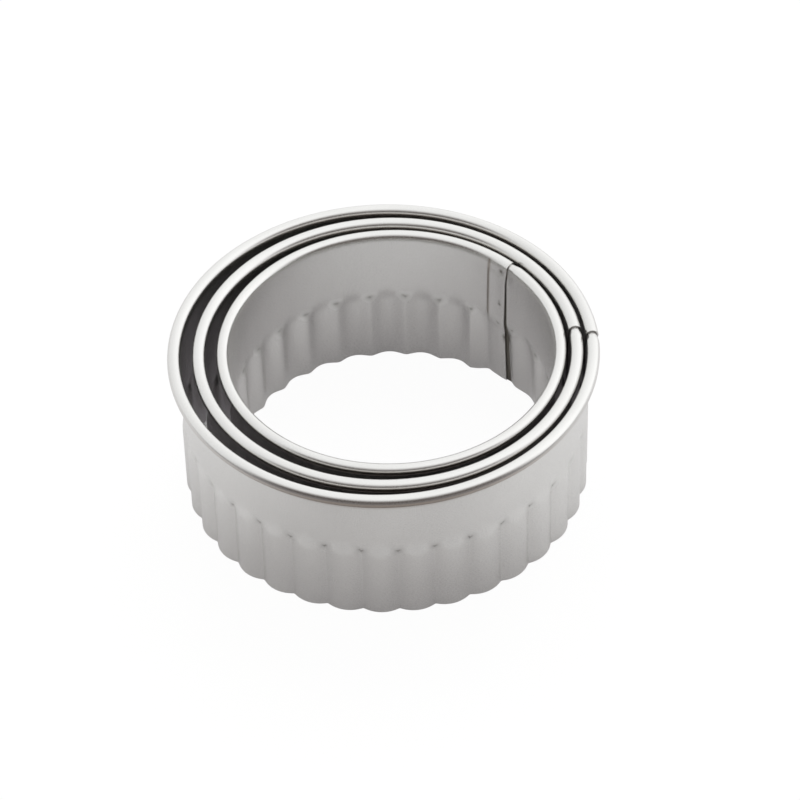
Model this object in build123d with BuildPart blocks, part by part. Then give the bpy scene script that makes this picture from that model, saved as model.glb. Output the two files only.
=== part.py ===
from build123d import *
from math import atan2, cos, degrees, radians, sin, sqrt, tan
import os

# Nest of three round biscuit cutters, one inside the other, all standing on the same table.
# Each cutter is one strip of sheet steel bent into a ring. Its top edge is rolled outwards into
# a rim, its lower half is fluted down to the scalloped cutting edge, and its two ends lap and
# are spot welded. Millimetres, +Z up, origin at the table on the axis of the largest cutter.

# The nest
large_diameter = 95.0  # over the rolled rim
nest_clearance = 1.9  # from a cutter's plain wall to the rim of the next one, all round
height = 37.0

# The sheet and its rolled rim
sheet = 0.3
rim_width = 2.6
rim_flats = 8  # the roll is drawn as flats round its section, and closed inside

# The fluted lower half
groove_top = 18.8  # from the cutting edge up to the ledge where the grooves stop
groove_depth = 0.9  # inwards from the plain wall
crest_depth = 0.05  # a lobe's crest stays this little inside the plain wall
roundness_share = 0.25  # 0 makes a lobe two straight flanks, and 1 makes it one full arc

# The lap of the strip's ends, one behind the other
lap_length = 5.4
lap_gap = 0.05
joggle_length = 2.5  # stretch in which the strip steps outwards to pass behind its other end
weld_diameter = 1.6
weld_sides = 6
upper_weld_drop = 2.6  # from the middle of the rim down to the upper weld
lower_weld_rise = 4.7  # from the ledge up to the lower weld
weld_share = 0.33  # place of the welds in the lap, from the end that shows inside

overrun = 0.5  # how far cutting shapes run past what they cut

# Each cutter: number of grooves, direction of the strip's end that shows inside, how far past it
# the first groove lies as a share of the pitch, and how far the cutter has slid from the middle
# of the one round it, as shares of the nest clearance
cutters = {
    "large_ring": dict(grooves=35, seam=3.4, groove_share=0.15, slide_shares=(0, 0)),
    "medium_ring": dict(grooves=32, seam=6.2, groove_share=0.15, slide_shares=(0.51, 0.02)),
    "small_ring": dict(grooves=29, seam=42.1, groove_share=0.2, slide_shares=(0.42, 0.31)),
}

rim_radius = rim_width / 2
rim_height = height - rim_radius  # of the middle of the roll
behind = sheet + lap_gap  # how far the end behind lies outside the end in front
flat_angle = 180 / rim_flats

# A skin is a surface of the sheet, named by how far it lies outside the plain wall's outside.


class Cutter:
    """Radii and directions of one cutter, worked out from its diameter over the rim."""

    def __init__(self, diameter, grooves, seam, groove_share):
        self.roll = diameter / 2 - rim_radius
        self.wall = self.roll - rim_radius + sheet
        self.grooves = grooves
        self.pitch = 360 / grooves
        self.seam = seam
        self.first_groove = seam + groove_share * self.pitch
        self.lap = degrees(lap_length / self.wall)
        self.joggle = degrees(joggle_length / self.wall)

        # A lobe is an arc round its crest and a straight flank on each side, tangent to it
        groove = self.wall - groove_depth
        crest = self.wall - crest_depth
        half_width = groove * sin(radians(self.pitch / 2))
        rise = crest - groove * cos(radians(self.pitch / 2))
        self.flank = (1 + roundness_share) * atan2(rise, half_width)
        self.arc = (half_width * tan(self.flank) - rise) / (1 / cos(self.flank) - 1)
        self.arc_middle = crest - self.arc

    def arc_end(self, skin):
        """Where a lobe's arc meets its flank: outwards along the crest's direction, and aside."""
        arc = self.arc + skin
        return self.arc_middle + arc * cos(self.flank), arc * sin(self.flank)

    def lobe_at(self, turn, skin):
        """Radius of the lobed outline at so many degrees from a crest."""
        turn = abs(radians(turn))
        out, aside = self.arc_end(skin)
        if turn < atan2(aside, out):
            across = self.arc_middle * sin(turn)
            return self.arc_middle * cos(turn) + sqrt((self.arc + skin) ** 2 - across**2)
        return (self.arc_middle * cos(self.flank) + self.arc + skin) / cos(turn - self.flank)


def radial_plane(direction):
    """The upright plane through the axis: local X runs outwards and local Y up."""
    out = Vector(1, 0).rotate(Axis.Z, direction)
    return Plane(origin=(0, 0, 0), x_dir=out, z_dir=out.cross(Vector(0, 0, 1)))


def sector(start, turn):
    """An upright slice of space, wide enough to hold any cutter."""
    with BuildPart() as slice_of_space:
        with BuildSketch(Plane.XY.offset(-overrun)):
            with BuildLine():
                first = PolarLine((0, 0), large_diameter, start)
                last = PolarLine((0, 0), large_diameter, start + turn)
                Line(first @ 1, last @ 1)
            make_face()
        extrude(amount=height + 2 * overrun)
    return slice_of_space.part


def plug(cutter, skin, top):
    """All that lies inside a skin: lobes up to the ledge, and a plain round above it."""
    crest = Vector(cutter.lobe_at(0, skin), 0)
    groove = Vector(cutter.lobe_at(cutter.pitch / 2, skin), 0)
    out, aside = cutter.arc_end(skin)
    ledge = groove_top - skin
    with BuildPart() as filled:
        with BuildSketch():
            with BuildLine():
                for index in range(cutter.grooves):
                    start = cutter.first_groove + index * cutter.pitch
                    middle = start + cutter.pitch / 2
                    near = Vector(out, -aside).rotate(Axis.Z, middle)
                    far = Vector(out, aside).rotate(Axis.Z, middle)
                    Line(groove.rotate(Axis.Z, start), near)
                    ThreePointArc(near, crest.rotate(Axis.Z, middle), far)
                    Line(far, groove.rotate(Axis.Z, start + cutter.pitch))
            make_face()
        extrude(amount=ledge)
        with BuildSketch(Plane.XY.offset(ledge)):
            Circle(cutter.wall + skin)
        extrude(amount=top - ledge)
    return filled.part


def roll_profile(cutter, radius):
    """The roll's section, for use inside a sketch: the lip comes back square to the wall."""
    with Locations((cutter.roll, rim_height)):
        RegularPolygon(radius, rim_flats, major_radius=False, rotation=flat_angle)
        Rectangle(radius, radius, align=Align.MAX)


def rolled_ring(cutter, skin):
    """A whole ring of sheet with the roll on top, its outside on the given skin."""
    hollow = plug(cutter, skin - sheet, height + overrun)
    with BuildPart() as ring:
        add(plug(cutter, skin, rim_height))
        with BuildSketch(Plane.XZ):
            roll_profile(cutter, rim_radius - skin)
        revolve(axis=Axis.Z)
        add(hollow, mode=Mode.SUBTRACT)
    return ring.part


def sleeve(cutter):
    """The space in the roll of the end in front, which takes the roll and wall of the end behind."""
    with BuildPart() as space:
        with BuildSketch(Plane.XZ):
            roll_profile(cutter, rim_radius - sheet)
            with Locations((cutter.wall, rim_height)):
                Rectangle(sheet + 2 * lap_gap, rim_width, align=(Align.MIN, Align.MAX))
        revolve(axis=Axis.Z)
        add(sector(cutter.seam, cutter.lap + cutter.joggle), mode=Mode.INTERSECT)
    return space.part


def section(cutter, direction, skin):
    """Corners of the strip's section in an upright plane close before the end in front."""
    turn = cutter.first_groove - cutter.pitch / 2 - direction
    inner = skin - sheet
    lip = rim_radius - skin
    corners = [
        (cutter.lobe_at(turn, inner), 0),
        (cutter.lobe_at(turn, inner), groove_top - inner),
        (cutter.wall + inner, groove_top - inner),
    ]
    for step in range(rim_flats - 1, -rim_flats // 2, -2):
        around = radians(step * flat_angle)
        reach = lip / cos(radians(flat_angle))
        corners.append((cutter.roll + reach * cos(around), rim_height + reach * sin(around)))
    corners += [
        (cutter.wall + skin, rim_height - lip),
        (cutter.wall + skin, groove_top - skin),
        (cutter.lobe_at(turn, skin), groove_top - skin),
        (cutter.lobe_at(turn, skin), 0),
    ]
    return corners


def joggle(cutter):
    """The stretch that steps outwards, its roll narrowing to enter the sleeve."""
    with BuildPart() as stretch:
        for direction, skin in ((cutter.seam - cutter.joggle, 0), (cutter.seam, behind)):
            with BuildSketch(radial_plane(direction)):
                with BuildLine():
                    Polyline(*section(cutter, direction, skin), close=True)
                make_face()
        loft(ruled=True)
    return stretch.part


def welds(cutter):
    """The weld nuggets, from the middle of one sheet through the gap to the middle of the other."""
    aside = cutter.seam + weld_share * cutter.lap + 90
    with BuildPart() as nuggets:
        with BuildSketch(radial_plane(aside)):
            with Locations((0, rim_height - upper_weld_drop), (0, groove_top + lower_weld_rise)):
                RegularPolygon(weld_diameter / 2, weld_sides)
        extrude(amount=large_diameter)
        with BuildSketch():
            Circle(cutter.wall + behind - sheet / 2)
            Circle(cutter.wall - sheet / 2, mode=Mode.SUBTRACT)
        extrude(amount=height, mode=Mode.INTERSECT)
    return nuggets.part


def strip(cutter):
    """The whole strip: the ring up to its joggle, the joggle, the end behind and the welds."""
    end_behind = rolled_ring(cutter, behind) & sector(cutter.seam, cutter.lap)
    with BuildPart() as ring:
        add(rolled_ring(cutter, 0))
        add(sector(cutter.seam - cutter.joggle, cutter.joggle), mode=Mode.SUBTRACT)
        add(sleeve(cutter), mode=Mode.SUBTRACT)
        add(joggle(cutter))
        add(end_behind)
        add(welds(cutter))
    return ring.part


os.makedirs("parts", exist_ok=True)

diameter = large_diameter
place = Vector(0, 0)
for name, cutter_values in cutters.items():
    place += Vector(*cutter_values.pop("slide_shares")) * nest_clearance
    shape = strip(Cutter(diameter, **cutter_values))
    with BuildPart() as ring:
        with Locations(place):
            add(shape)
    ring.part.label = name
    export_step(ring.part, f"parts/{name}.step")
    diameter -= 2 * (rim_width + nest_clearance)
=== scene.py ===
"""A nest of three fluted biscuit cutters, standing one inside the other on a pale table.

Each cutter is one strip of sheet steel. The script draws it as a closed shell: a mid surface that
runs up the wall and round the rolled rim, with a skin on each side of it.
"""

import bpy
import numpy as np
from bpy.props import FloatProperty, FloatVectorProperty, IntVectorProperty, PointerProperty
from mathutils import Matrix, Vector


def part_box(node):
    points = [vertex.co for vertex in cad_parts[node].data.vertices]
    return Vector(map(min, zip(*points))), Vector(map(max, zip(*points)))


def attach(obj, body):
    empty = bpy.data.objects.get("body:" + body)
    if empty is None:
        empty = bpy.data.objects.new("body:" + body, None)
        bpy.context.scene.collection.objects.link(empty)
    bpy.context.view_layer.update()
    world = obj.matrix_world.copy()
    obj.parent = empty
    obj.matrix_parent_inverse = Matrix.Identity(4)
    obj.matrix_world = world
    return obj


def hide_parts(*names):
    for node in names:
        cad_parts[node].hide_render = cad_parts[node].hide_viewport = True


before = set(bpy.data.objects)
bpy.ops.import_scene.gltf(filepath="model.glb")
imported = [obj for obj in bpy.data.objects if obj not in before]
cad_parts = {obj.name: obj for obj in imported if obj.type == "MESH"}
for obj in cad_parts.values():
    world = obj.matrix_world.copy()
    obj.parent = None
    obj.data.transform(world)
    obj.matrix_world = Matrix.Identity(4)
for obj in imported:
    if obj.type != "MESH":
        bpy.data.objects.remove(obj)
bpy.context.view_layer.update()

bl_info = {
    "name": "Fluted biscuit cutters",
    "version": (1, 0, 0),
    "blender": (4, 5, 0),
    "location": "3D View > Sidebar > Cutters",
    "description": "Draws a nest of three fluted biscuit cutters and the table they stand on",
    "category": "Add Mesh",
}

MM = 0.001
TAB = "Cutters"
CUTTERS = ("large", "medium", "small")
FULL_TURN = 2 * np.pi

# Heights are from the table up. A turn is the angle along the strip from its front end, which
# shows inside, once round and past it by the lap to the end behind.

# Heights of the rows of points on the wall, close together where the flutes stop and the rim starts
WALL_ROWS = MM * np.array(
    [0, 0.5, 2, 5, 9, 12, 13.6, 14.3, 15, 15.8, 16.4, 16.8, 17.1, 17.4, 17.6, 17.8, 18, 18.2]
    + [18.4, 18.6, 18.8, 19.05, 19.4, 19.8, 20.5, 21.5, 22.8, 23.4, 23.8, 24.2, 24.7, 26, 29]
    + [31.2, 32.2, 32.8, 33.3, 33.7, 34, 34.3, 34.6, 34.9, 35.2, 35.45, 35.7]
)
ROLL_ROWS = 25  # rows round the rolled rim
# Columns of points in half a flute, from a cusp to the crest, as shares of the pitch
FLUTE_COLUMNS = np.array([0, 0.016, 0.038, 0.068, 0.11, 0.17, 0.25, 0.34, 0.42, 0.5])
# More columns past the seam, before it in the painted shadow line of the seam's gap, and at the step
# past the lap
SEAM_COLUMNS = MM * np.array(
    [0, 0.15, 0.4, 0.8, 1.2, 1.5, 1.65, 1.8, 1.95, 2.1, 2.4, 2.9, 3.5, 4.2, 4.8, 5.1]
)
LINE_COLUMNS = MM * np.arange(0, 2.2, 0.15)
STEP_COLUMNS = MM * np.linspace(-0.5, 1.1, 9)
JOGGLE_COLUMNS = np.linspace(-0.1, 1.1, 13)  # as shares of the joggle's length
LEAST_COLUMN = 0.04 * MM  # columns nearer to each other than this are made one

# The rolled rim
RIM_LEAN = np.radians(20)  # how far the wall leans outwards where the roll starts
LEAN_HEIGHT = 2 * MM  # height in which it comes to lean
RIM_FOOT = (31.5 * MM, 34.1 * MM)  # from the free wall to the part that the roll holds
LIP_GAP = 0.08 * MM  # between the rim's lip and the wall
SLEEVE_SWELL = 0.05 * MM  # how far the front end's roll is opened to take the end behind
SWELL_SHARE = 0.25  # share of the roll in which it opens

# The flutes
PLAIN_WALL = (15.5 * MM, 19 * MM)  # from the fluted wall to the plain wall
TOP_UNEVENNESS = 0.12 * MM  # how far the flutes' tops rise and fall from one to the next
TOP_STEP = 2.4  # radians from flute to flute in the sine of that unevenness
TOP_PHASE = 9  # the seam's direction times this gives each cutter a pattern of its own
DRIFT_TURN = np.radians(75)  # turn in which the flutes' drift grows
CROWDED = np.radians((-24, -8))  # turns before the seam in which the last flutes crowd
CUSP_SOFTNESS = 0.22 * MM  # how far from a cusp its edge is rounded off
CUSP_FADE = 2.1 * MM  # height in which a cusp fades into the plain wall
CREST_FADE = 4.6 * MM  # the same for a crest
PIT_WIDTH = 0.45 * MM
PIT_HEIGHT = 0.22 * MM
PIT_RISE = 0.15 * MM  # from a cusp's top up to the pit
TOOL_MARK_WIDTH = 1.1 * MM
TOOL_MARK_HEIGHT = 0.85 * MM

# The slow waves of the sheet
WAVE_HEIGHT = 0.022 * MM
WAVE_PHASE = 7  # the seam's direction times this gives each cutter waves of its own
EDGE_WAVES = 5  # waves round the strip that grow from nothing at the table
# Other waves: how many go round, height as a share, radians that they lean in a metre, and phase
WAVES = ((9, 0.7, 0, -2), (23, 0.35, 60, 1), (41, 0.25, 90, -1))

# The lap and its welds
WELD_SHARE = 0.33  # place of the welds in the lap, as a share of it
WELDS = ((2.5 * MM, 1.3), (12.3 * MM, 1))  # how far below the top, and share of the width
WELD_BULGE = 0.05 * MM
LAP_STEP = 0.9 * MM  # length of the step past the lap, which shows as a crease
FRONT_SHIFT = 0.29 * MM  # how far the front end lies inside the wall
BEHIND_SHIFT = 0.28 * MM  # how far the end behind is pressed back towards it
LAP_BLEND = 1.5 * MM  # length before the seam in which the end behind takes the front's flutes
FREE_END = 3.2 * MM  # length in which the front end stands off the end behind
STAND_OFF = 0.1 * MM
SKEW = 0.83 * MM  # the front end isn't cut quite square: how far its foot lies past its top
SKEW_TURN = np.radians(25)

# The seam whose doubled sheet was not pressed in so far, in degrees past it or before it
LEAST_DEPTH = 0.2  # share of their depth that the flutes have beside the seam
DEEP_PAST = (5, 11)  # past the seam, where they grow to their full depth
DEEP_BEFORE = (2, 12)  # the same before the seam
SPREAD_STARTS = (-26, -14)  # past the seam, so these lie before it
SPREAD_ENDS = (8.3, 12.9)
SPREAD_HEIGHT = 19 * MM  # height at which the cutting edge's spread has gone
SPREAD_BEND = 1.2  # the power by which it goes

# The painted shadow in the gap along the front end: a dark line and a blot
LINE_WIDTH = 0.12 * MM
LINE_WIDENING = 0.35 * MM  # how much wider it is on the flutes
LINE_WIDENS = (15.5 * MM, 19.5 * MM)  # from wide to narrow
LINE_EDGE = 0.4 * MM  # width in which its edge fades
BLOT_PLACE = 14.3 * MM  # height of the painted blot of shadow
BLOT_HEIGHT = 0.9 * MM
BLOT_WIDTH = 0.45 * MM
BLOT_REACH = 0.6 * MM  # how far it reaches over the front end

# How the marks and the painted shade show
INNER_PIT_SHADE = 0.5  # how dark the painted shade in each pit is on the inside
OUTER_PIT_SHADE = 0.8  # and on the outside
SHADE_TILT = (56, 86)  # from no painted shade to full painted shade, in degrees from lying flat
RIM_TOP_SHARE = 0.23  # share of the roll's rows up to its top
INNER_SHADE = 0.45  # share of it on the rim's inner side
INNER_SHADE_RISE = (34.9 * MM, 35.9 * MM)
UNDER_RIM = (31.3 * MM, 33.5 * MM)  # where the painted shade under the rim grows on the wall
# Painted shade in the crease past the lap, on top of its real step
CREASE_SHADE = 0.85
CREASE_PLACE = 0.36 * MM  # from the lap's end to the middle of the crease
CREASE_WIDTH = 0.4 * MM
CREASE_RISE = (18 * MM, 20 * MM)
CHART_SCALE = 10  # chart units in a metre
CHART_GAP = 0.1  # metres in the chart from one skin to the other
SHARP_ANGLE = np.radians(40)  # edges sharper than this aren't smoothed


class CutterSizes(bpy.types.PropertyGroup):
    """Sizes of the cutters. Three values are for the large, the medium and the small one."""

    sheet: FloatProperty(
        name="Sheet",
        description="Thickness of the steel sheet",
        default=0.3 * MM,
        precision=5,
        subtype="DISTANCE",
        unit="LENGTH",
    )
    rim_widths: FloatVectorProperty(
        name="Rims",
        description="Width of the rolled rim",
        default=(3.0 * MM, 3.0 * MM, 2.85 * MM),
        size=3,
        precision=5,
        subtype="XYZ_LENGTH",
        unit="LENGTH",
    )
    grooves: IntVectorProperty(
        name="Grooves",
        description="Number of grooves round each cutter",
        default=(35, 32, 29),
        size=3,
    )
    seams: FloatVectorProperty(
        name="Seams",
        description="Direction of the strip's end that shows inside, in degrees from +X",
        default=(3.4, 6.2, 42.5),
        size=3,
    )
    groove_shares: FloatVectorProperty(
        name="First grooves",
        description="How far past the seam the first groove lies, as a share of the pitch",
        default=(0.15, 0.15, 0.242),
        size=3,
    )
    drifts: FloatVectorProperty(
        name="Drift",
        description="Degrees that the flutes run ahead of an even spacing, past the first few",
        default=(0, 0, 2.7),
        size=3,
    )
    crowding: FloatVectorProperty(
        name="Crowding",
        description="Degrees that the last flutes before the seam lie nearer to it",
        default=(0, 0, 3.6),
        size=3,
    )
    groove_tops: FloatVectorProperty(
        name="Groove tops",
        description="Height above the table at which the grooves stop",
        default=(18.4 * MM, 18.2 * MM, 17.9 * MM),
        size=3,
        precision=5,
        subtype="XYZ_LENGTH",
        unit="LENGTH",
    )
    groove_depth: FloatProperty(
        name="Groove depth",
        description="How far a cusp lies inside the plain wall",
        default=0.62 * MM,
        precision=5,
        subtype="DISTANCE",
        unit="LENGTH",
    )
    crest_height: FloatProperty(
        name="Crest height",
        description="How far a flute's crest lies outside the plain wall",
        default=0.5 * MM,
        precision=5,
        subtype="DISTANCE",
        unit="LENGTH",
    )
    roundness: FloatVectorProperty(
        name="Roundness",
        description="0 makes a flute two straight flanks, and 1 makes it one full arc",
        default=(0.75, 0.5, 0.35),
        size=3,
        min=0.05,
        max=1,
    )
    arch_rise: FloatProperty(
        name="Arch rise",
        description="How much higher a flute reaches in its middle than at its cusps",
        default=0.65 * MM,
        precision=5,
        subtype="DISTANCE",
        unit="LENGTH",
    )
    laps: FloatVectorProperty(
        name="Laps",
        description="How far the strip's ends lap",
        default=(5.4 * MM, 5.4 * MM, 4.7 * MM),
        size=3,
        precision=5,
        subtype="XYZ_LENGTH",
        unit="LENGTH",
    )
    lowered: FloatVectorProperty(
        name="Lowered",
        description="How much lower than its CAD solid each cutter is, as the rims aren't quite level",
        default=(0, 0.1 * MM, 0.4 * MM),
        size=3,
        precision=5,
        subtype="XYZ_LENGTH",
        unit="LENGTH",
    )
    seam_spreads: FloatVectorProperty(
        name="Seam spreads",
        description="How far the cutting edge stands out round the seam",
        default=(0, 0, 1.0 * MM),
        size=3,
        precision=5,
        subtype="XYZ_LENGTH",
        unit="LENGTH",
    )
    lap_gap: FloatProperty(
        name="Lap gap",
        description="Gap between the lapped ends",
        default=0.05 * MM,
        precision=5,
        subtype="DISTANCE",
        unit="LENGTH",
    )
    joggle: FloatProperty(
        name="Joggle",
        description="Length in which the strip steps outwards to pass behind its other end",
        default=2.5 * MM,
        precision=5,
        subtype="DISTANCE",
        unit="LENGTH",
    )
    weld_width: FloatProperty(
        name="Weld marks",
        description="Width of the mark that a spot weld leaves",
        default=0.85 * MM,
        precision=5,
        subtype="DISTANCE",
        unit="LENGTH",
    )


class SteelLook(bpy.types.PropertyGroup):
    """Colours and finish of the steel."""

    sheet_colour: FloatVectorProperty(
        name="Sheet",
        description="Colour of the rolled sheet",
        default=(0.777, 0.776, 0.762),
        size=3,
        min=0,
        max=1,
        subtype="COLOR",
    )
    edge_colour: FloatVectorProperty(
        name="Cut edges",
        description="Colour of the sheared edges",
        default=(0.66, 0.65, 0.64),
        size=3,
        min=0,
        max=1,
        subtype="COLOR",
    )
    # This colour also darkens the painted shadow in the seam's gap and the painted shade in each pit
    weld_and_shade_colour: FloatVectorProperty(
        name="Weld and shade tint",
        description="Colour of the weld marks",
        default=(0.16, 0.15, 0.13),
        size=3,
        min=0,
        max=1,
        subtype="COLOR",
    )
    # Painted shade: a brownish dark on the rim's sides, in the crease past the lap and on the wall
    # under the rim
    painted_shade_colour: FloatVectorProperty(
        name="Painted shade",
        description="Colour of the sides of the rim, and of the wall close under it",
        default=(0.37, 0.32, 0.28),
        size=3,
        min=0,
        max=1,
        subtype="COLOR",
    )
    roughness: FloatProperty(
        name="Roughness",
        description="Roughness of the rolled sheet",
        default=0.27,
        min=0,
        max=1,
        subtype="FACTOR",
    )
    edge_roughness: FloatProperty(
        name="Edge roughness",
        description="Roughness of the sheared edges",
        default=0.378,
        min=0,
        max=1,
        subtype="FACTOR",
    )
    dull_roughness: FloatProperty(
        name="Tool marks",
        description="Roughness of the dull marks at the tops of the cusps",
        default=0.6,
        min=0,
        max=1,
        subtype="FACTOR",
    )
    cloud_shades: FloatVectorProperty(
        name="Clouds",
        description="Shares of its colour that the sheet has in its darkest and lightest clouds",
        default=(0.95, 1.04),
        size=2,
    )
    finish_shares: FloatVectorProperty(
        name="Scratches",
        description="Shares of its roughness that the sheet has from scratch to scratch",
        default=(0.85, 1.2),
        size=2,
    )
    grain_strength: FloatProperty(
        name="Grain",
        description="Strength of the rolling grain",
        default=0.25,
        min=0,
        max=1,
        subtype="FACTOR",
    )
    grain_depth: FloatProperty(
        name="Grain depth",
        description="Depth of the rolling grain",
        default=0.004 * MM,
        precision=6,
        subtype="DISTANCE",
        unit="LENGTH",
    )


class StudioLook(bpy.types.PropertyGroup):
    """The camera, the table and the light."""

    camera_place: FloatVectorProperty(
        name="Camera",
        description="Place of the camera",
        default=(0.0, -0.5972, 0.6072),
        size=3,
        subtype="XYZ_LENGTH",
        unit="LENGTH",
    )
    camera_turn: FloatVectorProperty(
        name="Camera turn",
        description="Heading, elevation and roll of the camera in degrees",
        default=(0.322, -44.511, -1.552),
        size=3,
    )
    lens: FloatProperty(
        name="Lens",
        description="Focal length in millimetres on a 36 mm wide sensor",
        default=169.39,
    )
    table_colour: FloatVectorProperty(
        name="Table",
        description="Colour of the table",
        default=(0.78, 0.78, 0.78),
        size=3,
        min=0,
        max=1,
        subtype="COLOR",
    )
    whiteness: FloatProperty(
        name="Whiteness",
        description="How nearly white the table is to the camera; the rest shows its shadows",
        default=0.92,
        min=0,
        max=1,
        subtype="FACTOR",
    )
    white_level: FloatProperty(
        name="White level",
        description="Brightness of the table's white, and of the glow",
        default=1.03,
    )
    contact_shade: FloatProperty(
        name="Contact shade",
        description="Share of its light that the table keeps beside a wall, as the steel sees it",
        default=0.49,
        min=0,
        max=1,
        subtype="FACTOR",
    )
    side_shade: FloatProperty(
        name="Side shade",
        description="The same at the left and right of the nest",
        default=1.0,
        min=0,
        max=1,
        subtype="FACTOR",
    )
    far_shade: FloatProperty(
        name="Far shade",
        description="Share of its light that the table keeps far in front, as the steel sees it",
        default=0.25,
        min=0,
        max=1,
        subtype="FACTOR",
    )
    glow: FloatProperty(
        name="Glow",
        description="How much light the steel sees on the table where no light falls",
        default=0.1,
        min=0,
        max=1,
        subtype="FACTOR",
    )
    glow_colour: FloatVectorProperty(
        name="Glow colour",
        description="Colour of that light",
        default=(1.0, 0.92, 1.0),
        size=3,
        min=0,
        max=1,
        subtype="COLOR",
    )
    room_colour: FloatVectorProperty(
        name="Room",
        description="Colour of the light that the room sheds",
        default=(1.0, 0.985, 0.96),
        size=3,
        min=0,
        max=1,
        subtype="COLOR",
    )
    dark_colour: FloatVectorProperty(
        name="Dark side",
        description="How the steel sees the room low behind the camera",
        default=(0.11, 0.092, 0.084),
        size=3,
        min=0,
        max=1,
        subtype="COLOR",
    )
    room_light: FloatProperty(
        name="Room light",
        description="Brightness of the light that the room sheds on the table",
        default=0.75,
    )
    left_light: FloatProperty(
        name="Left side",
        description="How bright the steel sees the room at its left",
        default=0.95,
    )
    right_light: FloatProperty(
        name="Right side",
        description="How bright the steel sees the room at its right",
        default=1.3,
    )
    key_light: FloatProperty(
        name="Key light",
        description="Brightness of the large lamp behind the cutters",
        default=2.2,
    )
    key_size: FloatProperty(
        name="Key size",
        description="Width of the large lamp behind the cutters",
        default=1.2,
        subtype="DISTANCE",
        unit="LENGTH",
    )
    key_place: FloatVectorProperty(
        name="Key place",
        description="Place of the large lamp behind the cutters; it points at them",
        default=(0.2, 0.95, 1.0),
        size=3,
        subtype="XYZ_LENGTH",
        unit="LENGTH",
    )
    key_colour: FloatVectorProperty(
        name="Key colour",
        description="Colour of the large lamp behind the cutters",
        default=(0.95, 0.98, 1.0),
        size=3,
        min=0,
        max=1,
        subtype="COLOR",
    )


def smooth(values):
    """Smooth step: 3x squared minus 2x cubed, of the values kept between 0 and 1."""
    values = np.clip(values, 0, 1)
    return values * values * (3 - 2 * values)


def between(values, first, last):
    """0 up to the first value and 1 from the last, with a smooth step from one to the other."""
    return smooth((values - first) / (last - first))


def bell(values):
    """A bell: e to the minus square of the values."""
    return np.exp(-values * values)


class Strip:
    """Numbers of one cutter, from its CAD node's box and the sizes."""

    def __init__(self, sizes, index):
        name = CUTTERS[index]
        low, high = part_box(name + "_ring")
        self.name = name
        self.centre = (low + high) / 2
        self.height = high.z - sizes.lowered[index]
        self.sheet = sizes.sheet
        self.rim_radius = sizes.rim_widths[index] / 2
        self.roll = (high.x - low.x) / 2 - self.rim_radius  # to the middle of the rolled rim
        self.wall = self.roll - self.rim_radius + self.sheet / 2  # to the middle of the sheet
        self.grooves = sizes.grooves[index]
        self.pitch = FULL_TURN / self.grooves
        self.seam = np.radians(sizes.seams[index])
        self.first_groove = sizes.groove_shares[index] * self.pitch
        self.groove_top = sizes.groove_tops[index]
        self.behind = self.sheet + sizes.lap_gap
        self.lap = sizes.laps[index] / self.wall
        self.roundness = sizes.roundness[index]
        self.joggle = sizes.joggle / self.wall
        self.drift = np.radians(sizes.drifts[index])
        self.seam_spread = sizes.seam_spreads[index]
        self.crowding = np.radians(sizes.crowding[index])

        # The wall leans out as a cube of the height, whose slope at its end is three times its rise
        # over its length. The roll fills the rest of the rim's width.
        self.lean_out = np.tan(RIM_LEAN) * LEAN_HEIGHT / 3
        width = 2 * self.rim_radius - self.sheet - self.lean_out
        self.roll_radius = width / (1 + np.cos(RIM_LEAN))
        self.roll_out = self.roll + self.rim_radius - self.sheet / 2 - self.roll_radius
        self.roll_up = self.height - self.sheet / 2 - self.roll_radius


def columns(strip):
    """Turns of the columns of points: each flute's own, and more at the seam, in the painted shadow
    line along it, at the step past the lap and in the joggle. The strip goes once round and laps
    itself."""
    flute = np.concatenate([FLUTE_COLUMNS, 1 - FLUTE_COLUMNS[1:-1]])
    numbers = np.arange(-1, strip.grooves + 3)[:, None]
    fluted = (numbers + flute).ravel() * strip.pitch + strip.first_groove
    seam = SEAM_COLUMNS / strip.wall
    line = FULL_TURN - LINE_COLUMNS / strip.wall
    step = strip.lap + STEP_COLUMNS / strip.wall
    stretch = FULL_TURN - JOGGLE_COLUMNS * strip.joggle
    end = FULL_TURN + strip.lap
    turns = np.sort(np.concatenate([fluted, seam, line, step, stretch, [end]]))
    turns = turns[(turns >= 0) & (turns <= end)]
    keep = np.append(True, np.diff(turns) > LEAST_COLUMN / strip.wall)
    keep[-1] = True
    return turns[keep]


def flute_places(strip, sizes, turn):
    """For each turn: how far the nearest cusp is, in radians, and the height of the flute's top.

    The turn is first set back by the drift and the crowding, and then counted off in pitches.
    The top rises from the cusps to the crest like a flat arch, and a sine of the flute's number
    makes each one a little different.
    """
    turn = turn - strip.drift * between(turn, 0, DRIFT_TURN)
    turn = turn - strip.crowding * between(turn - FULL_TURN, *CROWDED)
    number = np.floor((turn - strip.first_groove) / strip.pitch)
    half = strip.pitch / 2
    away = half - np.abs(turn - strip.first_groove - (number + 0.5) * strip.pitch)
    uneven = TOP_UNEVENNESS * np.sin(TOP_STEP * number + TOP_PHASE * strip.seam)
    share = np.clip(away / half, 0, 1)
    top = strip.groove_top + uneven + sizes.arch_rise * np.sqrt(1 - (1 - share) ** 2)
    return away, top


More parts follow.
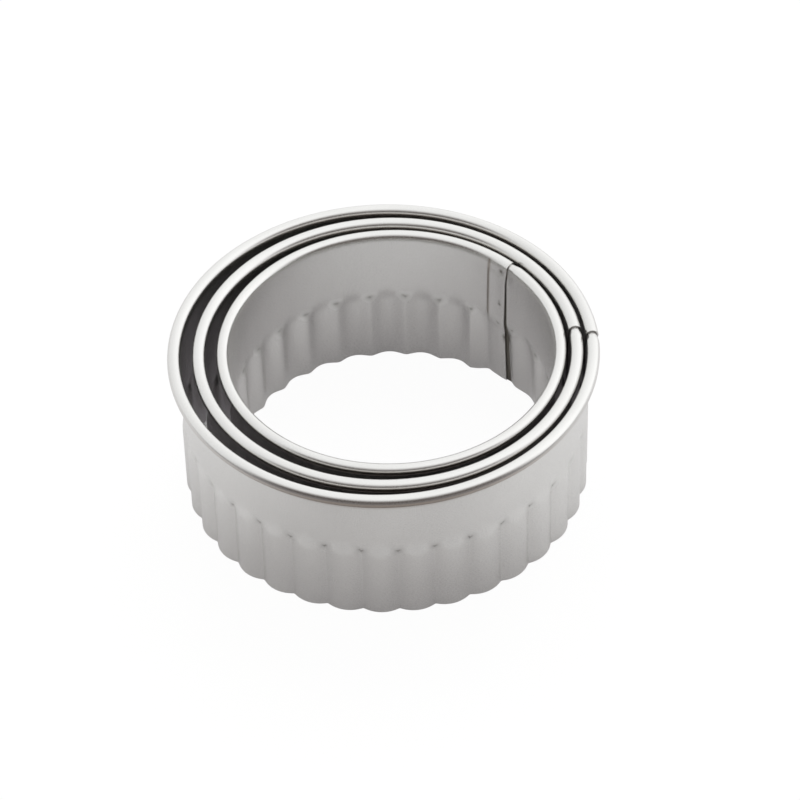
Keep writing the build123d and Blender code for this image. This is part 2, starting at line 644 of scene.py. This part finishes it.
def flutes(strip, sizes, turn, z):
    """How far the flutes move the wall outwards.

    A flute's outline is a straight flank from each cusp and an arc round the crest, tangent to
    both. It fades into the plain wall at its top, over a short height at the cusps and a longer
    one at the crest.
    """
    away, top = flute_places(strip, sizes, turn)
    half = strip.pitch / 2
    share = np.clip(away / half, 0, 1)
    soft = CUSP_SOFTNESS / strip.wall
    away = np.minimum(np.sqrt(away**2 + soft**2), half)
    crest = strip.wall + sizes.crest_height
    cusp = strip.wall - sizes.groove_depth
    width = cusp * np.sin(half)
    rise = crest - cusp * np.cos(half)
    flank = (1 + strip.roundness) * np.arctan2(rise, width)
    arc = (width * np.tan(flank) - rise) / (1 / np.cos(flank) - 1)
    middle = crest - arc
    aside = half - away
    on_arc = middle * np.cos(aside) + np.sqrt(arc**2 - (middle * np.sin(aside)) ** 2)
    on_flank = (middle * np.cos(flank) + arc) / np.cos(aside - flank)
    arc_end = np.arctan2(arc * np.sin(flank), middle + arc * np.cos(flank))
    outline = np.where(aside < arc_end, on_arc, on_flank)
    fade = CUSP_FADE + (CREST_FADE - CUSP_FADE) * share
    return (outline - strip.wall) * smooth((top - z) / fade + 0.5)


def lapped_flutes(strip, sizes, turn, z):
    """The flutes, with what the lap does to them.

    The end behind takes the front end's flutes where the two lap. A cutter with a spread seam has
    shallow flutes beside it, and a cutting edge that stands out there, by a power of how far down
    the wall a point is.
    """
    fluted = flutes(strip, sizes, turn, z)
    lapped = between((turn - FULL_TURN) * strip.wall, -LAP_BLEND, 0)
    fluted = fluted + lapped * (flutes(strip, sizes, turn - FULL_TURN, z) - fluted)
    if strip.seam_spread:
        past = np.degrees(np.where(turn > np.pi, turn - FULL_TURN, turn))
        far = between(past, *DEEP_PAST) + between(-past, *DEEP_BEFORE)
        depth = LEAST_DEPTH + (1 - LEAST_DEPTH) * far
        spread = between(past, *SPREAD_STARTS) * (1 - between(past, *SPREAD_ENDS))
        down = np.clip(1 - z / SPREAD_HEIGHT, 0, 1) ** SPREAD_BEND
        fluted = depth * fluted + strip.seam_spread * spread * down
    return fluted


def painted_pit_shade(strip, sizes, turn, z):
    """Painted shade: 1 in the small pit that the fluting tool leaves above each cusp, fading to 0 as a
    bell.
    """
    away, top = flute_places(strip, sizes, turn)
    return bell(away * strip.wall / PIT_WIDTH) * bell((z - top - PIT_RISE) / PIT_HEIGHT)


def tool_marks(strip, sizes, turn, z):
    """1 where the tool rubbed the sheet dull at the top of each cusp, fading to 0 as a bell."""
    away, top = flute_places(strip, sizes, turn)
    return bell(away * strip.wall / TOOL_MARK_WIDTH) * bell((z - top) / TOOL_MARK_HEIGHT)


def waviness(strip, turn, z):
    """How far the sheet is from round: sines of the turn, a few hundredths of a millimetre high."""
    phase = WAVE_PHASE * strip.seam
    waves = np.sin(EDGE_WAVES * turn + phase) * z / strip.height
    for count, share, lean, shift in WAVES:
        waves = waves + share * np.sin(count * turn + lean * z + shift * phase)
    return WAVE_HEIGHT * waves


def weld_marks(strip, sizes, turn, z):
    """1 at the middle of a spot weld, fading to 0 round it as a bell of the distance."""
    along = (turn - WELD_SHARE * strip.lap) * strip.wall
    marks = 0
    for drop, share in WELDS:
        away = np.hypot(along, z - strip.height + drop)
        marks = marks + bell(away / (sizes.weld_width * share / 2))
    return marks * (turn < strip.lap)


def painted_seam_shadow(strip, turn, z):
    """Painted shadow: 1 in a dark line on the end behind, along the front end, that stands for the
    shade in the gap between the two. It is narrow on the plain wall and wide on the flutes, with a
    dark blot between the two."""
    before = (FULL_TURN - turn) * strip.wall
    blot = bell((z - BLOT_PLACE) / BLOT_HEIGHT)
    width = LINE_WIDTH + LINE_WIDENING * (1 - between(z, *LINE_WIDENS)) + BLOT_WIDTH * blot
    line = smooth((width - before) / LINE_EDGE + 0.5) * (turn > np.pi)
    return np.maximum(line, bell(turn * strip.wall / BLOT_REACH) * blot)


def mid_surface(strip, sizes, turns):
    """Points in the middle of the sheet: one column for each turn, from the cutting edge up the
    wall and then round the rim, outwards over the top and back under to the wall.

    The wall's radius is the plain radius plus the flutes, the waviness and the lap's steps. The
    rim is a circle in the upright plane, smaller by the sheet and the gap where it goes into the
    other end.
    """
    turn = turns[:, None]
    behind = 1 - between(FULL_TURN - turn, 0, strip.joggle)  # 1 behind the other end
    front = 1 - between((turn - strip.lap) * strip.wall, 0, LAP_STEP)  # 1 in the end in front
    radius = strip.roll_radius - strip.behind * behind
    join_out = strip.roll_out - radius * np.cos(RIM_LEAN)
    join_up = strip.roll_up + radius * np.sin(RIM_LEAN)
    z = WALL_ROWS / WALL_ROWS[-1] * join_up
    free = 1 - between(z, *RIM_FOOT)
    plain = free * between(z, *PLAIN_WALL)
    lean = np.clip((z - join_up) / LEAN_HEIGHT + 1, 0, 1)
    wall = join_out - strip.lean_out * (1 - lean**3)
    wall = wall + free * waviness(strip, turn, z)
    wall = wall - plain * (FRONT_SHIFT * front + BEHIND_SHIFT * behind)
    wall = wall - STAND_OFF * free * front * (1 - between(turn * strip.wall, 0, FREE_END))
    wall = wall + lapped_flutes(strip, sizes, turn, z)
    wall = wall + WELD_BULGE * weld_marks(strip, sizes, turn, z)

    # The rolled rim turns until its lip comes back to the wall, or to the end behind
    tuck = strip.behind * (1 - between(turn - strip.lap, 0, strip.joggle))
    lip = join_out - strip.lean_out + strip.sheet + LIP_GAP + tuck
    last = np.arccos(np.clip((lip - strip.roll_out) / radius, -1, 1))
    steps = np.linspace(0, 1, ROLL_ROWS + 1)[1:]
    around = np.pi - RIM_LEAN - steps * (np.pi - RIM_LEAN + last)
    swell = SLEEVE_SWELL * front
    opened = radius + swell * smooth(steps / SWELL_SHARE)
    out = strip.roll_out + opened * np.cos(around)
    up = strip.roll_up - swell + opened * np.sin(around)
    reach = np.concatenate([wall, out], 1)
    rise = np.concatenate([z, up], 1)
    skew = SKEW / strip.wall * (1 - between(turn, 0, SKEW_TURN))
    angle = turn + strip.seam + skew * (1 - np.clip(rise / strip.height, 0, 1))
    return np.stack([reach * np.cos(angle), reach * np.sin(angle), rise], -1)


def sheet_marks(strip, sizes, turns, z, normal):
    """Marks from 0 to 1 on the two skins of the closed grid.

    Welds and shade are the weld marks, the painted shade in each pit and the painted shadow in the
    seam's gap. Dull is where the tool rubbed. The painted shade grows with the tilt of the rolled
    rim, is left off at the left and right, and lies in the crease past the lap and, outside, on the
    wall under the rim.
    """
    turn = turns[:, None]
    row = np.arange(z.shape[1])
    on_wall = row < len(WALL_ROWS)
    # The painted shade of each pit joins the weld marks and the seam's painted shadow
    pit_shade = painted_pit_shade(strip, sizes, turn, z) * on_wall
    welds_and_shade = np.maximum(weld_marks(strip, sizes, turn, z), painted_seam_shadow(strip, turn, z)) * on_wall
    welds_and_shade = np.maximum(welds_and_shade, INNER_PIT_SHADE * pit_shade)
    dull = tool_marks(strip, sizes, turn, z) * on_wall

    sides = np.sin(turn + strip.seam) ** 2  # 0 at the left and right, where light from the sides fills the painted shade; 1 in front and behind
    # Painted shade on the rolled rim, growing as it tilts down
    past_top = row > len(WALL_ROWS) + RIM_TOP_SHARE * ROLL_ROWS
    reach = np.where(past_top, 1, INNER_SHADE * between(z, *INNER_SHADE_RISE))
    tilt = np.degrees(np.arccos(np.clip(normal[..., 2], -1, 1)))
    painted_shade = between(tilt, *SHADE_TILT) * reach * sides
    # Painted shade in the crease past the lap, and on the outside wall close under the rim
    crease = bell(((turn - strip.lap) * strip.wall - CREASE_PLACE) / CREASE_WIDTH)
    crease = CREASE_SHADE * crease * between(z, *CREASE_RISE) * on_wall
    under = between(z, *UNDER_RIM) * on_wall * sides
    skins = {
        "welds_and_shade": (welds_and_shade, OUTER_PIT_SHADE * pit_shade),
        "dull": (dull, dull),
        "painted_shade": (np.maximum(painted_shade, crease), under),
    }
    return {name: np.concatenate([up, down[:, ::-1]], 1) for name, (up, down) in skins.items()}


def shell(strip, sizes):
    """The strip as a closed grid: up the inside of the wall and over the roll, across the lip, and
    back through the roll and down the outside of the wall.

    The skins are half the sheet away from the mid surface, along its normal, which is the cross
    product of its two directions. The chart runs along the strip one way, and the other way by
    the length walked up the mid surface.
    """
    turns = columns(strip)
    middle = mid_surface(strip, sizes, turns)
    along = np.gradient(middle, turns, axis=0)
    up = np.gradient(middle, axis=1)
    normal = np.cross(up, along)
    normal /= np.linalg.norm(normal, axis=-1, keepdims=True)
    skin = normal * strip.sheet / 2
    ring = np.concatenate([middle + skin, (middle - skin)[:, ::-1]], 1)
    ring = ring + np.array(strip.centre * Vector((1, 1, 0)))
    length = np.cumsum(np.linalg.norm(np.diff(middle, axis=1), axis=-1), 1)
    length = np.concatenate([np.zeros((len(turns), 1)), length], 1)
    chart_v = np.concatenate([length, length[:, ::-1] + CHART_GAP], 1)
    chart_u = np.broadcast_to((turns * strip.wall)[:, None], chart_v.shape)
    chart = CHART_SCALE * np.stack([chart_u, chart_v], -1)
    return ring, chart, sheet_marks(strip, sizes, turns, middle[..., 2], normal)


def build_cutter(strip, sizes, sheet_steel, cut_steel):
    """Turns the closed grid into a mesh: quads between neighbouring columns, and one row of quads
    across the sheet at each end of the strip. The edges across the sheet have the cut steel."""
    ring, chart, marks = shell(strip, sizes)
    count, around = ring.shape[:2]
    rows = around // 2
    index = np.arange(count * around).reshape(count, around)
    following = np.roll(index, -1, 1)
    sides = np.stack([index[:-1], index[1:], following[1:], following[:-1]], -1)

    def cap(column):
        up, down = column[:rows], column[::-1][:rows]
        return np.stack([up[:-1], up[1:], down[1:], down[:-1]], -1)

    near, far = cap(index[0]), cap(index[-1])[:, [0, 3, 2, 1]]
    faces = np.concatenate([sides.reshape(-1, 4), near, far])
    mesh = bpy.data.meshes.new(strip.name + "_cutter")
    mesh.from_pydata(ring.reshape(-1, 3).tolist(), [], faces.tolist())
    mesh.materials.append(sheet_steel)
    mesh.materials.append(cut_steel)

    is_cut = np.zeros(sides.shape[:2], np.int32)
    is_cut[:, rows - 1] = 1  # the lip
    is_cut[:, -1] = 1  # the cutting edge
    is_cut = np.concatenate([is_cut.ravel(), np.ones(len(near) + len(far), np.int32)])
    mesh.polygons.foreach_set("material_index", is_cut)
    corners = np.zeros(len(mesh.loops), np.int32)
    mesh.loops.foreach_get("vertex_index", corners)
    layer = mesh.uv_layers.new(name="strip")
    layer.data.foreach_set("uv", chart.reshape(-1, 2)[corners].ravel().astype(np.float32))
    for name, values in marks.items():
        layer = mesh.attributes.new(name, "FLOAT", "POINT")
        layer.data.foreach_set("value", values.ravel().astype(np.float32))
    mesh.shade_smooth()
    mesh.set_sharp_from_angle(angle=SHARP_ANGLE)
    mesh.validate()
    piece = bpy.data.objects.new(strip.name + "_cutter", mesh)
    bpy.context.scene.collection.objects.link(piece)
    return piece


def link(tree, start, end):
    """Joins two sockets given as (node, socket name)."""
    tree.links.new(start[0].outputs[start[1]], end[0].inputs[end[1]])


def feed(tree, socket, value):
    """Gives a socket its value, which is another socket or a plain number or colour."""
    if isinstance(value, bpy.types.NodeSocket):
        tree.links.new(value, socket)
    elif socket.type == "RGBA":
        socket.default_value = (*value, 1)
    else:
        socket.default_value = value


def ramp(tree, value, limits, style="LINEAR"):
    """Map Range node: carries value from the first two limits to the last two."""
    node = tree.nodes.new("ShaderNodeMapRange")
    node.interpolation_type = style
    names = ("Value", "From Min", "From Max", "To Min", "To Max")
    for name, given in zip(names, (value, *limits)):
        feed(tree, node.inputs[name], given)
    return node.outputs["Result"]


def calculate(tree, operation, *values):
    """Math node on sockets or plain numbers."""
    node = tree.nodes.new("ShaderNodeMath")
    node.operation = operation
    for index, value in enumerate(values):
        feed(tree, node.inputs[index], value)
    return node.outputs[0]


def blend_colours(tree, share, first, second):
    """Mix node for two colours, which are sockets or plain colours."""
    node = tree.nodes.new("ShaderNodeMix")
    node.data_type = "RGBA"
    for index, value in ((0, share), (6, first), (7, second)):
        feed(tree, node.inputs[index], value)
    return node.outputs[2]


def blend_values(tree, share, first, second):
    """Mix node for two values, which are sockets or plain numbers."""
    node = tree.nodes.new("ShaderNodeMix")
    for index, value in ((0, share), (2, first), (3, second)):
        feed(tree, node.inputs[index], value)
    return node.outputs[0]


NOISE_RANGE = (0.3, 0.7)  # most of a noise lies between these


def grain_group():
    """Node group for rolled sheet: faint lines, cloudy patches and fine scratches. The lines and
    scratches are noise drawn out along the strip."""
    group = bpy.data.node_groups.new("Rolling grain", "ShaderNodeTree")
    face = group.interface
    face.new_socket("Strip", in_out="INPUT", socket_type="NodeSocketVector")
    face.new_socket("Lines", in_out="OUTPUT", socket_type="NodeSocketFloat")
    face.new_socket("Clouds", in_out="OUTPUT", socket_type="NodeSocketFloat")
    face.new_socket("Scratches", in_out="OUTPUT", socket_type="NodeSocketFloat")
    start = group.nodes.new("NodeGroupInput")
    end = group.nodes.new("NodeGroupOutput")

    def noise(stretch, scale, detail, socket):
        mapping = group.nodes.new("ShaderNodeMapping")
        mapping.inputs["Scale"].default_value = stretch
        texture = group.nodes.new("ShaderNodeTexNoise")
        texture.inputs["Scale"].default_value = scale
        texture.inputs["Detail"].default_value = detail
        link(group, (start, "Strip"), (mapping, "Vector"))
        link(group, (mapping, "Vector"), (texture, "Vector"))
        group.links.new(texture.outputs["Fac"], end.inputs[socket])

    noise(stretch=(1, 60, 1), scale=30, detail=4, socket="Lines")
    noise(stretch=(1, 1, 1), scale=7, detail=3, socket="Clouds")
    noise(stretch=(1, 25, 1), scale=180, detail=2, socket="Scratches")
    return group


def steel(name, colour, look, grain, rough):
    """Material: bare steel with rolling grain in its roughness and bump, tinted welds, painted shade
    in each pit and in the seam's gap, dull tool marks and a brownish painted shade on the sides of the
    rim."""
    material = bpy.data.materials.new(name)
    material.use_nodes = True
    tree = material.node_tree
    surface = tree.nodes["Principled BSDF"]
    surface.inputs["Metallic"].default_value = 1.0
    chart = tree.nodes.new("ShaderNodeUVMap")
    chart.uv_map = "strip"
    marks = tree.nodes.new("ShaderNodeGroup")
    marks.node_tree = grain
    link(tree, (chart, "UV"), (marks, "Strip"))

    def mark(name):
        node = tree.nodes.new("ShaderNodeAttribute")
        node.attribute_name = name
        return node.outputs["Fac"]

    # The colour goes a little darker in the clouds, to a brownish painted shade on the rim's sides,
    # and dark at the welds and at the painted shade of the seam's gap and each pit
    dark = [channel * look.cloud_shades[0] for channel in colour]
    light = [min(1, channel * look.cloud_shades[1]) for channel in colour]
    shade = blend_colours(tree, marks.outputs["Clouds"], dark, light)
    shade = blend_colours(tree, mark("painted_shade"), shade, look.painted_shade_colour)
    shade = blend_colours(tree, mark("welds_and_shade"), shade, look.weld_and_shade_colour)
    tree.links.new(shade, surface.inputs["Base Color"])

    least, most = (rough * share for share in look.finish_shares)
    finish = ramp(tree, marks.outputs["Scratches"], (*NOISE_RANGE, least, most))
    finish = blend_values(tree, mark("dull"), finish, look.dull_roughness)
    tree.links.new(finish, surface.inputs["Roughness"])

    bump = tree.nodes.new("ShaderNodeBump")
    bump.inputs["Strength"].default_value = look.grain_strength
    bump.inputs["Distance"].default_value = look.grain_depth
    link(tree, (marks, "Lines"), (bump, "Height"))
    link(tree, (bump, "Normal"), (surface, "Normal"))
    return material


class CUTTERS_OT_rings(bpy.types.Operator):
    """Draws the three cutters"""

    bl_idname = "cutters.rings"
    bl_label = "Cutters"

    def execute(self, context):
        sizes, look = context.scene.cutter_sizes, context.scene.steel_look
        grain = grain_group()
        sheet_steel = steel("rolled_steel", look.sheet_colour, look, grain, look.roughness)
        cut_steel = steel("sheared_edge", look.edge_colour, look, grain, look.edge_roughness)
        for index, name in enumerate(CUTTERS):
            piece = build_cutter(Strip(sizes, index), sizes, sheet_steel, cut_steel)
            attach(piece, name + "_cutter")
            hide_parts(name + "_ring")
        return {"FINISHED"}


# What the steel sees of the table and the room
TABLE_REACH = 4.0  # from the middle of the table to its sides, in metres
AIR_REACH = 20 * MM  # how near the walls are that take away some of a place's open sky
WALL_SHADE = (0.5, 1)  # from beside a wall to the open table, as shares of open sky
OPEN_AIR = (0.08, 0.38)  # from a gap between the cutters to the open table, likewise
SIDE_OFFSET = 5 * MM  # the side shades are centred this far in front of the nest's axis
SIDE_REACH = (18 * MM, 54 * MM)  # from the side shades to those in front and behind
FAR_REACH = (-50 * MM, -170 * MM)  # where the table falls off in front
FAR_SLANT = -0.35  # how much nearer that is towards the left and right
ROOM_LOW = (0.97, 0.5)  # heights of directions, from overhead down
ROOM_FRONT = (-0.15, -0.6)  # depths of directions, from the sides to the front
ROOM_SIDES = (-0.8, 0.8)  # widths of directions, from left to right


def table(look):
    """The table: a large pale square, which the camera sees nearly white where it is open."""
    mesh = bpy.data.meshes.new("table")
    corners = [(x * TABLE_REACH, y * TABLE_REACH, 0) for x, y in ((-1, -1), (1, -1), (1, 1), (-1, 1))]
    mesh.from_pydata(corners, [], [(0, 1, 2, 3)])
    material = bpy.data.materials.new("table")
    material.use_nodes = True
    tree = material.node_tree
    tree.nodes.clear()
    output = tree.nodes.new("ShaderNodeOutputMaterial")
    path = tree.nodes.new("ShaderNodeLightPath").outputs
    place = tree.nodes.new("ShaderNodeTexCoord")
    parts = tree.nodes.new("ShaderNodeSeparateXYZ")
    tree.links.new(place.outputs["Object"], parts.inputs[0])

    # The steel sees the table darker close to a wall, and far off in front
    air = tree.nodes.new("ShaderNodeAmbientOcclusion")
    air.inputs["Distance"].default_value = AIR_REACH
    beside = calculate(tree, "ABSOLUTE", calculate(tree, "ADD", parts.outputs["Y"], SIDE_OFFSET))
    shades = (look.side_shade, look.contact_shade)
    contact = ramp(tree, beside, (*SIDE_REACH, *shades), "SMOOTHSTEP")
    open_share = ramp(tree, air.outputs["AO"], (*WALL_SHADE, 0, 1))
    close = blend_values(tree, open_share, contact, 1.0)
    aside = calculate(tree, "ABSOLUTE", parts.outputs["X"])
    aside = calculate(tree, "MULTIPLY", aside, FAR_SLANT)
    away = calculate(tree, "ADD", parts.outputs["Y"], aside)
    far = ramp(tree, away, (*FAR_REACH, 1, look.far_shade), "SMOOTHSTEP")
    shade = calculate(tree, "MULTIPLY", close, far)
    shade = calculate(tree, "MAXIMUM", shade, path["Is Camera Ray"])
    colour = blend_colours(tree, shade, (0, 0, 0), look.table_colour)
    matt = tree.nodes.new("ShaderNodeBsdfDiffuse")
    tree.links.new(colour, matt.inputs["Color"])

    # White to the camera where the table is open, and not down in the gaps between the cutters
    open_air = ramp(tree, air.outputs["AO"], (*OPEN_AIR, 0, look.whiteness), "SMOOTHSTEP")
    seen = calculate(tree, "MULTIPLY", open_air, path["Is Camera Ray"])
    seen = calculate(tree, "MULTIPLY_ADD", path["Is Glossy Ray"], look.glow, seen)
    white = tree.nodes.new("ShaderNodeEmission")
    shown = blend_colours(tree, path["Is Glossy Ray"], (1, 1, 1), look.glow_colour)
    tree.links.new(shown, white.inputs["Color"])
    white.inputs["Strength"].default_value = look.white_level
    mix = tree.nodes.new("ShaderNodeMixShader")
    for index, socket in enumerate((seen, matt.outputs[0], white.outputs[0])):
        tree.links.new(socket, mix.inputs[index])
    tree.links.new(mix.outputs[0], output.inputs["Surface"])
    mesh.materials.append(material)
    floor = bpy.data.objects.new("table", mesh)
    bpy.context.scene.collection.objects.link(floor)


def surroundings(look):
    """The room: white to the camera, and a soft light from all round. In the steel it is brighter
    at the right and falls off low in front, where the room behind the camera is."""
    world = bpy.data.worlds.new("studio")
    bpy.context.scene.world = world
    world.use_nodes = True
    tree = world.node_tree
    tree.nodes.clear()
    output = tree.nodes.new("ShaderNodeOutputWorld")
    room = tree.nodes.new("ShaderNodeBackground")
    place = tree.nodes.new("ShaderNodeTexCoord")
    parts = tree.nodes.new("ShaderNodeSeparateXYZ")
    tree.links.new(place.outputs["Generated"], parts.inputs[0])
    x, y, z = (parts.outputs[axis] for axis in "XYZ")
    path = tree.nodes.new("ShaderNodeLightPath").outputs

    low = ramp(tree, z, (*ROOM_LOW, 0, 1))
    front = ramp(tree, y, (*ROOM_FRONT, 0, 1), "SMOOTHSTEP")
    dark = calculate(tree, "MULTIPLY", low, front)
    level = ramp(tree, x, (*ROOM_SIDES, look.left_light, look.right_light))
    lit = blend_colours(tree, dark, (1, 1, 1), look.dark_colour)
    lit = blend_colours(tree, path["Is Glossy Ray"], look.room_colour, lit)
    lit = blend_colours(tree, path["Is Camera Ray"], lit, (1, 1, 1))
    tree.links.new(lit, room.inputs["Color"])
    strength = blend_values(tree, path["Is Glossy Ray"], look.room_light, level)
    strength = blend_values(tree, path["Is Camera Ray"], strength, 1.0)
    tree.links.new(strength, room.inputs["Strength"])
    tree.links.new(room.outputs[0], output.inputs["Surface"])


SENSOR_WIDTH = 36  # millimetres


def camera(look):
    """The camera looks along its heading and elevation, rolled a little about that line."""
    heading, elevation, roll = np.radians(look.camera_turn)
    ahead = np.cos(elevation)
    forward = Vector((np.sin(heading) * ahead, np.cos(heading) * ahead, np.sin(elevation)))
    right = forward.cross(Vector((0, 0, 1))).normalized()
    up = right.cross(forward)
    turned = Matrix((right, up, -forward)).transposed().to_4x4()
    turned = turned @ Matrix.Rotation(roll, 4, "Z")
    eye = bpy.data.objects.new("camera", bpy.data.cameras.new("camera"))
    eye.matrix_world = Matrix.Translation(look.camera_place) @ turned
    eye.data.sensor_width = SENSOR_WIDTH
    eye.data.lens = look.lens
    eye.data.clip_start = 10 * MM
    bpy.context.scene.collection.objects.link(eye)
    bpy.context.scene.camera = eye


class CUTTERS_OT_stage(bpy.types.Operator):
    """Sets up the table, the light and the camera"""

    bl_idname = "cutters.stage"
    bl_label = "Table, light and camera"

    def execute(self, context):
        look = context.scene.studio_look
        table(look)
        surroundings(look)
        camera(look)
        softbox = bpy.data.lights.new("softbox", "AREA")
        softbox.shape = "SQUARE"
        softbox.size = look.key_size
        softbox.energy = look.key_light * np.pi * softbox.size**2
        softbox.color = look.key_colour
        lamp = bpy.data.objects.new("softbox", softbox)
        lamp.location = look.key_place
        lamp.visible_glossy = False
        lamp.rotation_euler = Vector(lamp.location).to_track_quat("Z", "Y").to_euler()
        context.scene.collection.objects.link(lamp)
        context.scene.view_settings.view_transform = "Standard"
        return {"FINISHED"}


class CUTTERS_PT_panel(bpy.types.Panel):
    """Lists what can be drawn, and the values it is drawn with"""

    bl_label = "Biscuit cutters"
    bl_space_type = "VIEW_3D"
    bl_region_type = "UI"
    bl_category = TAB

    def draw(self, context):
        scene = context.scene
        for operator in (CUTTERS_OT_rings, CUTTERS_OT_stage):
            self.layout.operator(operator.bl_idname)
        for group in (scene.cutter_sizes, scene.steel_look, scene.studio_look):
            column = self.layout.column()
            for name in group.bl_rna.properties.keys():
                if name not in ("rna_type", "name"):
                    column.prop(group, name)


CLASSES = (
    CutterSizes,
    SteelLook,
    StudioLook,
    CUTTERS_OT_rings,
    CUTTERS_OT_stage,
    CUTTERS_PT_panel,
)


def register():
    for cls in CLASSES:
        bpy.utils.register_class(cls)
    bpy.types.Scene.cutter_sizes = PointerProperty(type=CutterSizes)
    bpy.types.Scene.steel_look = PointerProperty(type=SteelLook)
    bpy.types.Scene.studio_look = PointerProperty(type=StudioLook)


def unregister():
    del bpy.types.Scene.studio_look
    del bpy.types.Scene.steel_look
    del bpy.types.Scene.cutter_sizes
    for cls in reversed(CLASSES):
        bpy.utils.unregister_class(cls)


def main():
    register()
    bpy.ops.cutters.rings()
    bpy.ops.cutters.stage()


if __name__ == "__main__":
    main()
